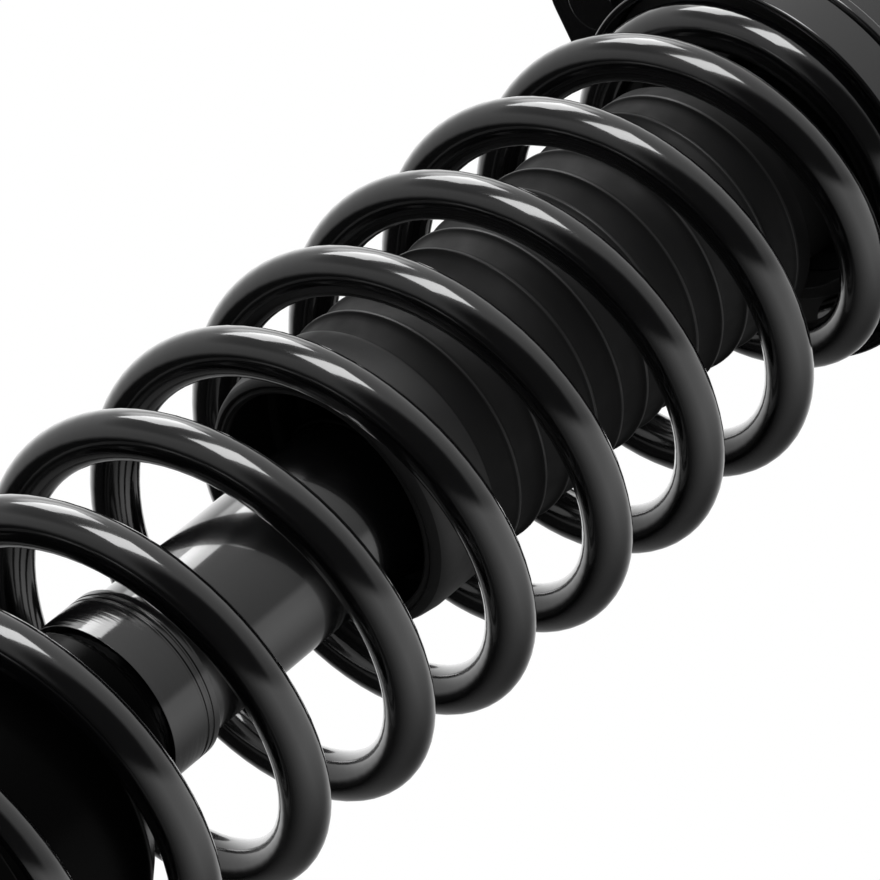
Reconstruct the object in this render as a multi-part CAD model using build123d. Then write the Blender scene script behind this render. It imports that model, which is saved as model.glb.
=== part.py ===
from build123d import *
import math
import os

# Coil-over strut for a multi-link suspension. Millimetres, +Z up along the damper axis.
# The origin is the centre of the lower eye's bore. The strut stands at full extension, its rest.

# ---- driving dimensions -------------------------------------------------------------------------
# coil spring
wire_diameter = 13.8
coil_radius = 60.0              # mean radius of the working turns
pitch_lower = 43.4              # the lower four working turns
pitch_upper = 42.1              # the turns above them, a little tighter
lower_turns = 4.75              # working turns at pitch_lower
upper_turns = 2.8               # working turns at pitch_upper
end_turns = 0.85                # closed turn on the lower seat
end_pitch_gap = 0.4             # air between the closed turn and the one above it
pigtail_radius = 50.6           # mean radius of the small turn under the upper seat
taper_turns = 0.8               # turns over which the radius shrinks to the pigtail
taper_rise = 38.6
pigtail_turns = 0.95
pigtail_rise = 11.87
coil_start_angle = -36.0        # where the lowest wire end points, degrees from +X

# damper
tube_radius = 23.8
tube_wall = 2.0
tube_bottom = 30.0
tube_top = 333.0
rod_radius = 8.0
rod_thread_radius = 6.0
cylinder_radius = 16.5          # outside of the inner pressure tube
cylinder_wall = 1.5
piston_height = 18.0
piston_air = 0.4
piston_band_depth = 2.0
shim = 1.2                      # height of one shim stack
shim_edge = 3.0                 # from the shims' edge to the cylinder wall
piston_nut_width = 17.0
piston_nut_height = 7.0
piston_thread = 10.0            # rod thread below the shims
rebound_room = 16.0             # from the piston up to the guide at full extension
rebound_gap = 2.0               # between the upper shims and the rebound ring
rebound_ring = 4.0              # height and wall of the rebound ring
rebound_air = 0.8               # between the buffer and the guide at full extension
guide_height = 16.0
guide_spigot = 6.0
bush_wall = 1.5
seal_height = 5.0
rollover = 2.0                  # thickness of the tube's rolled-in mouth
mouth_radius = 14.0
foot_height = 8.0               # flange of the foot valve
foot_edge = 1.5                 # gap for oil round the foot valve
foot_port = 3.0
foot_step = 6.0                 # height of each step above the foot valve's flange
plug_height = 6.0
base_taper = 18.0               # height of the cone from the tube to the eye
base_foot_share = 0.66          # the cone's foot as a share of the tube's radius
strike_thickness = 5.0
strike_wall = 1.6
strike_skirt = 13.0
strike_corner = 2.0
strike_hole_air = 1.0
stroke = 115.0                  # bump travel before the stop is met

# lower spring seat: a tall hat with a pan for the spring
seat_wall = 3.0
pan_top = 109.0
pan_clearance = 2.1             # between the closed turn and the pan's lip
pan_lip = 12.0
hat_clearance = 3.0             # between the turns and the hat inside them
hat_shoulder = 182.0            # height where the hat starts to close towards the tube
hat_corner = 6.0
hat_draft = 1.0                 # the hat's foot is this much wider than its top
crown_rise = 2.0
crown_inset = 0.7               # the crown's inner corner, as shares of the wall
crown_drop = 0.8
neck_flare = 3.0
neck_flare_height = 4.0
neck_bottom = 190.0
neck_top = 210.0
isolator_wall = 2.8

# locating collar on the tube above the hat
collar_wall = 2.6
collar_bottom = 213.0
collar_height = 18.0
collar_groove = 0.7
collar_groove_width = 0.8
collar_groove_drops = (2.6, 4.8)  # from the collar's upper edge
collar_corner = 0.8

# dust boot, open at its lower end
boot_radius = 41.0
boot_taper = 1.7                # the uppermost convolution is this much smaller than the mouth
boot_depth = 2.6                # depth of a convolution
boot_wall = 1.8
boot_mouth = 310.0
boot_skirt = 24.0               # plain part at the mouth
boot_ridges = 12
boot_ridge_pitch = 11.7
boot_shoulder = 5.0             # plain ring above the last convolution
boot_shoulder_cone = 7.0
boot_neck_air = 0.6
boot_neck_drop = 1.0            # from the rod's shoulder down to the boot's upper edge
mouth_draw = 0.5                # the mouth's edge is this much smaller than the skirt
crest_land = 1.0                # flat on top of each convolution
valley_share = 0.30             # where the valley lies, as a share of the pitch
slope_share = 0.62
slope_rise = 0.35               # how far the slope has risen there, as a share of the depth

# bump stop
bump_radius = 25.0
bump_nose = 7.0
bump_groove = 3.0
bump_groove_width = 4.0
bump_waists = (0.42, 0.62)      # shares of the stop's length
bump_bore_air = 0.6
bump_gap = 0.5                  # air between the strike cap and the stop at full bump
cup_air = 1.0
cup_wall = 2.0
cup_plate = 2.5
cup_depth = 16.0

# top mount
lip_clearance = 2.5             # between the small turn and the upper seat's lip
seat_lip_drop = 12.0
upper_seat_wall = 2.4
seat_top_corner = 0.8
seat_rim_corner = 1.0
upper_isolator_wall = 2.2
hub_wall = 4.0
hub_air = 0.6
hub_reach = 8.3                 # how far the isolator's hub goes down inside the small turn
flange_thickness = 4.0
flange_edge = 1.2               # rounding of the flange's outer edges
flange_overhang = 1.2           # flange beyond the upper seat, between the lobes
drum_radius = 58.0
drum_height = 23.0
drum_wall = 3.0
drum_corner = 8.0
drum_foot = 2.5                 # rounding where the drum leaves the flange
stud_angle = -18.0
stud_boss_radius = 18.0
stud_radius = 5.0
stud_knurl_radius = 5.6         # the shank pressed into the flange
stud_head_radius = 8.5
stud_head_thickness = 2.2
stud_head_clearance = 1.1       # between a stud's head and the upper seat
stud_length = 25.0
stud_chamfer = 1.2
core_radius = 16.0
core_proud = 4.0                # the spool's top above the drum
core_disc_reach = 20.0
core_disc_half = 2.0
rubber_ring = 12.0              # rubber shown between the spool and the drum
rubber_inset = 1.0
rod_shoulder_drop = 6.0         # from the flange down to the rod's shoulder
washer_radius = 17.0
washer_thickness = 3.0
nut_height = 10.0
nut_width = 19.0
nut_chamfer_share = 0.12
thread_proud = 5.0              # rod thread above the nut

# lower eye
eye_radius = 21.0
eye_wall = 4.5
eye_width = 34.0
eye_chamfer = 0.8
bush_inset = 0.5                # the rubber's faces inside the eye's
dish_depth = 3.0
dish_land = 2.0                 # flat rubber beside each dish
sleeve_radius = 9.0
sleeve_bore_radius = 6.1
sleeve_width = 44.0
sleeve_chamfer = 0.5

# clearances
running_fit = 0.05              # radial, between sliding or turning faces
seat_air = 0.3                  # between curved faces that only rest on each other
press_air = 0.02                # radial, between pieces that do not move on each other
thread_air = 0.1                # radial, round a thread that passes through a piece
washer_air = 0.3
overrun = 1.0                   # how far a cutting tool goes past the face it cuts

# ---- sizes that follow ----------------------------------------------------------------------------
pan_radius = coil_radius + wire_diameter / 2 + pan_clearance + seat_wall
hat_radius = coil_radius - wire_diameter / 2 - hat_clearance
collar_radius = tube_radius + collar_wall
seat_lip_radius = pigtail_radius + wire_diameter / 2 + lip_clearance + upper_seat_wall
flange_radius = seat_lip_radius + flange_overhang
stud_circle_radius = seat_lip_radius + stud_head_clearance + stud_head_radius


# ---- helpers ------------------------------------------------------------------------------------
def turned(*points):
    """A body of revolution about Z from (radius, height) corners."""
    outline = make_face(Polyline(*[(radius, 0, height) for radius, height in points], close=True))
    return revolve(outline, Axis.Z, 360)


def tube(outer, inner, bottom, top):
    """A plain ring or pipe; inner may be zero."""
    height = top - bottom
    pipe = Cylinder(outer, height, align=(Align.CENTER, Align.CENTER, Align.MIN))
    if inner > 0:
        pipe -= Cylinder(inner, height, align=(Align.CENTER, Align.CENTER, Align.MIN))
    return Pos(0, 0, bottom) * pipe


def cross_tube(outer, inner, width):
    """A ring whose axis is X, centred on the origin."""
    ring = Cylinder(outer, width) - Cylinder(inner, width)
    return Rot(0, 90, 0) * ring


def grooved(body, radius, depth, width, heights):
    """Cuts round grooves into a turned body's outside."""
    for height in heights:
        body -= tube(radius + overrun, radius - depth, height - width / 2, height + width / 2)
    return body


# ---- coil spring --------------------------------------------------------------------------------
def spring_spans():
    """(turns, rise, start radius, end radius) of each stretch of the wire, from the bottom."""
    end_rise = end_turns * (wire_diameter + end_pitch_gap)
    return [
        (end_turns, end_rise, coil_radius, coil_radius),
        (lower_turns, lower_turns * pitch_lower, coil_radius, coil_radius),
        (upper_turns, upper_turns * pitch_upper, coil_radius, coil_radius),
        (taper_turns, taper_rise, coil_radius, pigtail_radius),
        (pigtail_turns, pigtail_rise, pigtail_radius, pigtail_radius),
    ]


spring_bottom = pan_top + isolator_wall + seat_air + wire_diameter / 2
spring_top = spring_bottom + sum(rise for _, rise, _, _ in spring_spans())


def coil_spring():
    """The wire's centre line as helix edges end to end, swept in one pass."""
    edges = []
    height = spring_bottom
    angle = coil_start_angle
    for turns, rise, start_radius, end_radius in spring_spans():
        slant = math.hypot(rise, end_radius - start_radius)
        cone = math.degrees(math.atan2(end_radius - start_radius, rise))
        helix = Helix(pitch=slant / turns, height=rise, radius=start_radius, cone_angle=cone)
        edges.append(Pos(0, 0, height) * Rot(0, 0, angle) * helix)
        height += rise
        angle += 360 * turns
    path = Wire(edges)
    start = Plane(origin=path @ 0, z_dir=path % 0)
    return sweep(start * Circle(wire_diameter / 2), path=path, is_frenet=True)


# ---- top mount ----------------------------------------------------------------------------------
isolator_bottom = spring_top + wire_diameter / 2 + seat_air
seat_bottom = isolator_bottom + upper_isolator_wall
flange_bottom = seat_bottom + upper_seat_wall
drum_top = flange_bottom + flange_thickness + drum_height
flange_top = flange_bottom + flange_thickness
cup_radius = bump_radius + cup_air + cup_wall
boot_neck_radius = cup_radius + boot_neck_air + boot_wall
core_top = drum_top + core_proud
rod_shoulder = flange_bottom - rod_shoulder_drop
core_bottom = rod_shoulder + cup_plate
nut_bottom = core_top + washer_thickness
rod_top = nut_bottom + nut_height + thread_proud
drum_hole = core_radius + rubber_ring
core_disc_radius = core_radius + core_disc_reach
core_disc_height = (flange_bottom + drum_top) / 2


def stud_places():
    return [Rot(0, 0, stud_angle + turn) * Pos(stud_circle_radius, 0, 0) for turn in (0, 180)]


def mount_plate():
    """A two-lobed flange with a drawn drum on top that holds the rubber."""
    lobes = [place * Circle(stud_boss_radius) for place in stud_places()]
    outline = make_hull((Circle(flange_radius) + lobes[0] + lobes[1]).edges())
    flange = Pos(0, 0, flange_bottom) * extrude(outline, flange_thickness)
    faces = flange.faces().sort_by(Axis.Z)
    flange = fillet(faces[0].edges() + faces[-1].edges(), flange_edge)
    drum = tube(drum_radius, 0, flange_top, drum_top)
    drum = fillet(drum.faces().sort_by(Axis.Z)[-1].edges(), drum_corner)
    body = flange + drum
    foot = [edge for edge in body.edges().filter_by(GeomType.CIRCLE)
            if abs(edge.radius - drum_radius) < press_air and abs(edge.center().Z - flange_top) < press_air]
    body = fillet(foot, drum_foot)
    body -= tube(drum_radius - drum_wall, 0, flange_top, drum_top - drum_wall)
    body -= tube(drum_hole, 0, flange_bottom - overrun, drum_top + overrun)
    for place in stud_places():
        body -= place * tube(stud_knurl_radius + press_air, 0, flange_bottom - overrun, flange_top + overrun)
    return body


def mount_studs():
    """Two studs with thin round heads under the flange and a knurled shank pressed through it."""
    studs = []
    for place in stud_places():
        stud = tube(stud_radius, 0, flange_top, flange_top + stud_length)
        stud = chamfer(stud.faces().sort_by(Axis.Z)[-1].edges(), stud_chamfer)
        stud += tube(stud_knurl_radius, 0, flange_bottom, flange_top)
        stud += tube(stud_head_radius, 0, flange_bottom - stud_head_thickness, flange_bottom)
        studs.append(place * stud)
    return Compound(children=studs)


def mount_core():
    """The spool that the rod is bolted to; its disc sits inside the rubber."""
    spool = tube(core_radius, 0, core_bottom, core_top)
    spool += tube(core_disc_radius, 0, core_disc_height - core_disc_half, core_disc_height + core_disc_half)
    return spool - tube(rod_thread_radius + thread_air, 0, core_bottom - overrun, core_top + overrun)


def mount_rubber():
    """The rubber bonded between the drum and the spool."""
    outer = drum_radius - drum_wall - press_air
    rubber = tube(outer, 0, flange_top + press_air, drum_top - drum_wall - press_air)
    rubber += tube(drum_hole - press_air, 0, flange_bottom + rubber_inset, drum_top - rubber_inset)
    rubber -= tube(core_radius + press_air, 0, core_bottom - overrun, core_top + overrun)
    half = core_disc_half + press_air
    return rubber - tube(core_disc_radius + press_air, 0, core_disc_height - half, core_disc_height + half)


def rod_washer():
    return tube(washer_radius, rod_thread_radius + washer_air, core_top, nut_bottom)


def upper_spring_seat():
    """A shallow steel cup, open downwards, with a rolled lip round the small turn."""
    lip_bottom = seat_bottom - seat_lip_drop
    cup = tube(seat_lip_radius, 0, lip_bottom, flange_bottom)
    cup = fillet(cup.faces().sort_by(Axis.Z)[-1].edges(), seat_top_corner)
    cup -= tube(seat_lip_radius - upper_seat_wall, 0, lip_bottom, seat_bottom)
    rim = cup.faces().sort_by(Axis.Z)[0].edges()
    cup = fillet(rim, seat_rim_corner)
    return cup - tube(drum_hole, 0, lip_bottom, flange_bottom)


def upper_isolator():
    """A rubber ring over the small turn, with a hub that centres it."""
    outer = seat_lip_radius - upper_seat_wall - seat_air
    hub = pigtail_radius - wire_diameter / 2 - hub_air
    ring = tube(outer, hub - hub_wall, isolator_bottom, seat_bottom)
    return ring + tube(hub, hub - hub_wall, isolator_bottom - hub_reach, isolator_bottom)


# ---- bump stop and boot -------------------------------------------------------------------------
def bump_stop_cup():
    """The steel cup clamped under the mount; it holds the stop and the boot's neck."""
    cup = tube(cup_radius, 0, rod_shoulder - cup_depth, core_bottom)
    cup -= tube(cup_radius - cup_wall, 0, rod_shoulder - cup_depth, rod_shoulder)
    return cup - tube(rod_thread_radius + thread_air, 0, rod_shoulder - overrun, core_bottom)


strike_top = tube_top + strike_thickness
bump_bottom = strike_top + stroke + bump_gap


def bump_stop():
    """A microcellular foam spring with round grooves, hollow for the rod."""
    body = tube(bump_radius, 0, bump_bottom, rod_shoulder - press_air)
    body = chamfer(body.faces().sort_by(Axis.Z)[0].edges(), bump_nose)
    length = rod_shoulder - bump_bottom
    waists = [bump_bottom + length * share for share in bump_waists]
    body = grooved(body, bump_radius, bump_groove, bump_groove_width, waists)
    return body - tube(rod_radius + bump_bore_air, 0, bump_bottom - overrun, rod_shoulder + overrun)


def boot_profile():
    """(radius, height) corners of the boot's outside, from the mouth to the neck."""
    crest = boot_mouth + boot_skirt
    outer = boot_radius
    points = [(outer - mouth_draw, boot_mouth), (outer, crest - crest_land), (outer, crest)]
    for _ in range(boot_ridges):
        outer -= boot_taper / boot_ridges
        valley = outer - boot_depth
        points.append((valley, crest + boot_ridge_pitch * valley_share))
        points.append((valley + boot_depth * slope_rise, crest + boot_ridge_pitch * slope_share))
        crest += boot_ridge_pitch
        points.append((outer, crest - crest_land))
        points.append((outer, crest))
    points.append((outer, crest + boot_shoulder))
    points.append((boot_neck_radius, crest + boot_shoulder + boot_shoulder_cone))
    points.append((boot_neck_radius, rod_shoulder - boot_neck_drop))
    return points


def dust_boot():
    """A thin moulded bellows that hangs from the cup and is open at the bottom."""
    outside = boot_profile()
    inside = [(radius - boot_wall, height) for radius, height in reversed(outside)]
    return turned(*outside, *inside)


# ---- damper -------------------------------------------------------------------------------------
cylinder_bore = cylinder_radius - cylinder_wall
bore = tube_radius - tube_wall
guide_top = tube_top - rollover - seal_height
guide_bottom = guide_top - guide_height
guide_foot = guide_bottom - guide_spigot
base_bottom = tube_bottom + plug_height
foot_top = base_bottom + foot_height
base_top = foot_top + foot_step
piston_top = guide_foot - rebound_room
piston_bottom = piston_top - piston_height
piston_bore = rod_thread_radius + press_air
rebound_bottom = piston_top + shim + rebound_gap
rebound_radius = rod_radius + rebound_ring


def outer_tube():
    """The reservoir tube, its mouth rolled in over the seal."""
    body = tube(tube_radius, bore, tube_bottom, tube_top)
    return body + tube(bore + tube_wall / 2, mouth_radius, tube_top - rollover, tube_top)


def strike_cap():
    """The pressed cap that meets the bump stop."""
    skirt_bottom = tube_top - strike_skirt
    cap = tube(tube_radius + strike_wall, 0, skirt_bottom, strike_top)
    cap = fillet(cap.faces().sort_by(Axis.Z)[-1].edges(), strike_corner)
    cap -= tube(tube_radius + press_air, 0, skirt_bottom, tube_top)
    return cap - tube(rod_radius + strike_hole_air, 0, tube_top - overrun, strike_top + overrun)


def rod_guide():
    guide = tube(bore - press_air, 0, guide_bottom, guide_top)
    guide += tube(cylinder_bore - press_air, 0, guide_foot, guide_bottom)
    return guide - tube(rod_radius + bush_wall, 0, guide_foot - overrun, guide_top + overrun)


def guide_bush():
    return tube(rod_radius + bush_wall - press_air, rod_radius + running_fit, guide_foot, guide_top)


def rod_seal():
    return tube(bore - press_air, rod_radius + running_fit, guide_top, guide_top + seal_height)


def inner_cylinder():
    return tube(cylinder_radius, cylinder_bore, base_top, guide_bottom)


def base_valve():
    """The foot valve that the pressure tube stands on."""
    valve = tube(bore - foot_edge, 0, base_bottom, foot_top)
    valve += tube(cylinder_radius, 0, foot_top, base_top)
    valve += tube(cylinder_bore - press_air, 0, base_top, base_top + foot_step)
    return valve - tube(foot_port, 0, base_bottom - overrun, base_top + foot_step + overrun)


def piston_rod():
    """Hard-chromed rod, stepped to a thread at both ends."""
    rod = tube(rod_radius, 0, piston_top + shim, rod_shoulder)
    rod += tube(rod_thread_radius, 0, rod_shoulder, rod_top)
    rod += tube(rod_thread_radius, 0, piston_bottom - shim - piston_thread, piston_top + shim)
    return rod


def piston():
    body = tube(cylinder_bore - piston_air, piston_bore, piston_bottom, piston_top)
    middle = (piston_bottom + piston_top) / 2
    return grooved(body, cylinder_bore, piston_band_depth, piston_height / 2, [middle])


def piston_band():
    middle = (piston_bottom + piston_top) / 2
    half = piston_height / 4 - press_air
    inner = cylinder_bore - piston_band_depth + press_air
    return tube(cylinder_bore - running_fit, inner, middle - half, middle + half)


def valve_discs():
    """The shim stacks on both faces of the piston."""
    radius = cylinder_bore - shim_edge
    lower = tube(radius, piston_bore, piston_bottom - shim, piston_bottom)
    upper = tube(radius, piston_bore, piston_top, piston_top + shim)
    return Compound(children=[lower, upper])


def hex_nut(width, height, bore_radius, bottom):
    """A hexagon nut whose corners are turned off at both faces."""
    corner_radius = width / math.sqrt(3)
    blank = tube(corner_radius, 0, 0, height)
    nut = extrude(RegularPolygon(corner_radius, 6), height)
    nut &= chamfer(blank.edges().filter_by(GeomType.CIRCLE), height * nut_chamfer_share)
    return Pos(0, 0, bottom) * nut - tube(bore_radius, 0, bottom - overrun, bottom + height + overrun)


def piston_nut():
    return hex_nut(piston_nut_width, piston_nut_height, piston_bore, piston_bottom - shim - piston_nut_height)


def rod_nut():
    return hex_nut(nut_width, nut_height, rod_thread_radius + press_air, nut_bottom)


def rebound_stop():
    """A steel ring swaged on the rod; the rubber buffer sits above it."""
    return tube(rebound_radius, rod_radius + press_air, rebound_bottom, rebound_bottom + rebound_ring)


def rebound_buffer():
    bottom = rebound_bottom + rebound_ring
    return tube(rebound_radius, rod_radius + press_air, bottom, guide_foot - rebound_air)


def seat_collar():
    """The locating ring on the tube, with fine grooves near its upper edge."""
    top = collar_bottom + collar_height
    body = tube(collar_radius, 0, collar_bottom, top)
    body = fillet(body.faces().sort_by(Axis.Z)[-1].edges(), collar_corner)
    grooves = [top - drop for drop in collar_groove_drops]
    body = grooved(body, collar_radius, collar_groove, collar_groove_width, grooves)
    return body - tube(tube_radius + press_air, 0, collar_bottom - overrun, top + overrun)


def lower_spring_seat():
    """A drawn hat welded to the tube at its neck; the pan at its foot carries the spring."""
    neck = tube_radius + press_air
    outer = neck + seat_wall
    flare_foot = neck_bottom - neck_flare_height
    pan_bottom = pan_top - seat_wall
    lip = pan_radius - seat_wall
    hat_foot = hat_radius + hat_draft
    crown = hat_radius - hat_corner
    return turned(
        (neck, neck_top), (outer, neck_top), (outer, neck_bottom), (outer + neck_flare, flare_foot),
        (crown, hat_shoulder + crown_rise), (hat_radius, hat_shoulder - hat_corner),
        (hat_foot, pan_top), (lip, pan_top), (lip, pan_top + pan_lip),
        (pan_radius, pan_top + pan_lip), (pan_radius, pan_bottom),
        (hat_foot - seat_wall, pan_bottom), (hat_radius - seat_wall, hat_shoulder - hat_corner - hat_draft),
        (crown - seat_wall * crown_inset, hat_shoulder - seat_wall * crown_drop),
        (outer, flare_foot - seat_wall), (neck, flare_foot),
    )


def lower_isolator():
    outer = pan_radius - seat_wall - seat_air
    return tube(outer, hat_radius + hat_draft + seat_air, pan_top, pan_top + isolator_wall)


# ---- lower eye ----------------------------------------------------------------------------------
def base_cup():
    """The tube's end plug, drawn down to a saddle on the eye."""
    plug = tube(bore - press_air, 0, tube_bottom, base_bottom)
    foot = tube_radius * base_foot_share
    cone = Cone(foot, tube_radius, base_taper, align=(Align.CENTER, Align.CENTER, Align.MIN))
    body = plug + Pos(0, 0, tube_bottom - base_taper) * cone
    return body - Rot(0, 90, 0) * Cylinder(eye_radius + press_air, eye_width * 2)


def lower_eye():
    ring = cross_tube(eye_radius, eye_radius - eye_wall, eye_width)
    return chamfer(ring.edges().filter_by(GeomType.CIRCLE), eye_chamfer)


def eye_bush():
    """The rubber bush, dished at both faces."""
    outer = eye_radius - eye_wall - press_air
    bush = cross_tube(outer, sleeve_radius + running_fit, eye_width - bush_inset * 2)
    dish = cross_tube(outer - dish_land, sleeve_radius + dish_land, dish_depth * 2)
    for side in (-1, 1):
        bush -= Pos(side * eye_width / 2, 0, 0) * dish
    return bush


def eye_sleeve():
    sleeve = cross_tube(sleeve_radius, sleeve_bore_radius, sleeve_width)
    return chamfer(sleeve.edges().filter_by(GeomType.CIRCLE), sleeve_chamfer)


parts = {
    "mount_plate": mount_plate(),
    "mount_studs": mount_studs(),
    "mount_core": mount_core(),
    "mount_rubber": mount_rubber(),
    "rod_washer": rod_washer(),
    "rod_nut": rod_nut(),
    "upper_spring_seat": upper_spring_seat(),
    "upper_isolator": upper_isolator(),
    "bump_stop_cup": bump_stop_cup(),
    "bump_stop": bump_stop(),
    "dust_boot": dust_boot(),
    "piston_rod": piston_rod(),
    "piston": piston(),
    "piston_band": piston_band(),
    "valve_discs": valve_discs(),
    "piston_nut": piston_nut(),
    "rebound_stop": rebound_stop(),
    "rebound_buffer": rebound_buffer(),
    "coil_spring": coil_spring(),
    "outer_tube": outer_tube(),
    "strike_cap": strike_cap(),
    "rod_guide": rod_guide(),
    "guide_bush": guide_bush(),
    "rod_seal": rod_seal(),
    "inner_cylinder": inner_cylinder(),
    "base_valve": base_valve(),
    "seat_collar": seat_collar(),
    "lower_spring_seat": lower_spring_seat(),
    "lower_isolator": lower_isolator(),
    "base_cup": base_cup(),
    "lower_eye": lower_eye(),
    "eye_bush": eye_bush(),
    "eye_sleeve": eye_sleeve(),
}

os.makedirs("parts", exist_ok=True)
for name, shape in parts.items():
    export_step(shape, f"parts/{name}.step")
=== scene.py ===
import math
import bmesh
import bpy
from mathutils import Matrix, Vector


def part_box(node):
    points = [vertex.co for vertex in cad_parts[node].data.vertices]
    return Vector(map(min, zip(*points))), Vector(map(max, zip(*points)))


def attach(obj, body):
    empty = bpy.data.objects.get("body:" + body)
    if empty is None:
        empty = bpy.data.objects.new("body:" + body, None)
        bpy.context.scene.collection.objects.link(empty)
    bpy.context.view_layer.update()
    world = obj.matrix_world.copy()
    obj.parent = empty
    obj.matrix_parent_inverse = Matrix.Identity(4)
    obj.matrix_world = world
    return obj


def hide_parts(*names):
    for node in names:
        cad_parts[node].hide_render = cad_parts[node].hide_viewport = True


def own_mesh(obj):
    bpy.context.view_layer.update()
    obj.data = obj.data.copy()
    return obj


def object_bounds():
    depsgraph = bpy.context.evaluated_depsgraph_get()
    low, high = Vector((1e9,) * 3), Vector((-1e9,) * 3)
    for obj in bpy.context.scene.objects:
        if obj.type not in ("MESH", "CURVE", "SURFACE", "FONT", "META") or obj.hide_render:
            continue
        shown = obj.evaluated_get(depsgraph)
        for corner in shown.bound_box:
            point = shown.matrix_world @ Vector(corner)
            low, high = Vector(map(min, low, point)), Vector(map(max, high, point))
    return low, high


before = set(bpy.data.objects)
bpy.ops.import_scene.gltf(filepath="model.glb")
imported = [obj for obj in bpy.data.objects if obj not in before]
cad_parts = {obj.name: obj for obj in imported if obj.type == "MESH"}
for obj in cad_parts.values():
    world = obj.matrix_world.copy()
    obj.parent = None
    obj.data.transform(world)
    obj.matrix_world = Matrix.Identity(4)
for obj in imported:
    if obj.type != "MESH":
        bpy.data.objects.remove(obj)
cad_low, cad_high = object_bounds()

# ---- Damper innards -------------------------------------------------------------------------------
# Pressure tube, foot valve, piston with its PTFE band and shims, guide, bush, seal and rebound ring.
# Turned, sintered and stamped parts that slide or press together inside the reservoir tube.
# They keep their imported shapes; each takes the finish of its own metal, plastic or rubber.
FULL_TURN = 2 * math.pi


def new_group(name, inputs, outputs):
    """An empty shader group with named sockets, and its two end nodes."""
    group = bpy.data.node_groups.new(name, "ShaderNodeTree")
    for direction, sockets in (("INPUT", inputs), ("OUTPUT", outputs)):
        for socket, kind in sockets:
            group.interface.new_socket(socket, in_out=direction, socket_type="NodeSocket" + kind)
    return group, group.nodes.new("NodeGroupInput"), group.nodes.new("NodeGroupOutput")


def skin_relief_group():
    """Fine unevenness of a coating or a moulded skin, as a normal."""
    group, given, result = new_group(
        "skin_relief",
        [("Vector", "Vector"), ("Per Metre", "Float"), ("Depth", "Float")],
        [("Normal", "Vector")],
    )
    noise = group.nodes.new("ShaderNodeTexNoise")
    noise.inputs["Detail"].default_value = 2.0
    bump = group.nodes.new("ShaderNodeBump")
    bump.inputs["Strength"].default_value = 1.0
    group.links.new(given.outputs["Vector"], noise.inputs["Vector"])
    group.links.new(given.outputs["Per Metre"], noise.inputs["Scale"])
    group.links.new(given.outputs["Depth"], bump.inputs["Distance"])
    group.links.new(noise.outputs["Fac"], bump.inputs["Height"])
    group.links.new(bump.outputs["Normal"], result.inputs["Normal"])
    return group


def gloss_drift_group():
    """Roughness that wanders slowly between two values."""
    group, given, result = new_group(
        "gloss_drift",
        [("Vector", "Vector"), ("Per Metre", "Float"), ("Low", "Float"), ("High", "Float")],
        [("Roughness", "Float")],
    )
    noise = group.nodes.new("ShaderNodeTexNoise")
    noise.inputs["Detail"].default_value = 4.0
    spread = group.nodes.new("ShaderNodeMapRange")
    spread.inputs["From Min"].default_value = 0.3
    spread.inputs["From Max"].default_value = 0.7
    group.links.new(given.outputs["Vector"], noise.inputs["Vector"])
    group.links.new(given.outputs["Per Metre"], noise.inputs["Scale"])
    group.links.new(noise.outputs["Fac"], spread.inputs["Value"])
    group.links.new(given.outputs["Low"], spread.inputs["To Min"])
    group.links.new(given.outputs["High"], spread.inputs["To Max"])
    group.links.new(spread.outputs["Result"], result.inputs["Roughness"])
    return group


def speck_group():
    """A sparse mask of dust and tiny inclusions, between 0 and 1."""
    group, given, result = new_group(
        "dust_specks",
        [("Vector", "Vector"), ("Per Metre", "Float"), ("Cover", "Float")],
        [("Mask", "Float")],
    )
    noise = group.nodes.new("ShaderNodeTexNoise")
    noise.inputs["Detail"].default_value = 3.0
    edge = group.nodes.new("ShaderNodeMath")
    edge.operation = "SUBTRACT"
    edge.inputs[0].default_value = 1.0
    mask = group.nodes.new("ShaderNodeMapRange")
    mask.interpolation_type = "SMOOTHSTEP"
    mask.inputs["From Max"].default_value = 1.0
    group.links.new(given.outputs["Vector"], noise.inputs["Vector"])
    group.links.new(given.outputs["Per Metre"], noise.inputs["Scale"])
    group.links.new(given.outputs["Cover"], edge.inputs[1])
    group.links.new(edge.outputs["Value"], mask.inputs["From Min"])
    group.links.new(noise.outputs["Fac"], mask.inputs["Value"])
    group.links.new(mask.outputs["Result"], result.inputs["Mask"])
    return group


skin_relief = skin_relief_group()
gloss_drift = gloss_drift_group()
dust_specks = speck_group()


def place(nodes, group, **values):
    """Puts a shader group in a material with its own values."""
    node = nodes.new("ShaderNodeGroup")
    node.node_tree = group
    for socket, value in values.items():
        node.inputs[socket.replace("_", " ")].default_value = value
    return node


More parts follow.
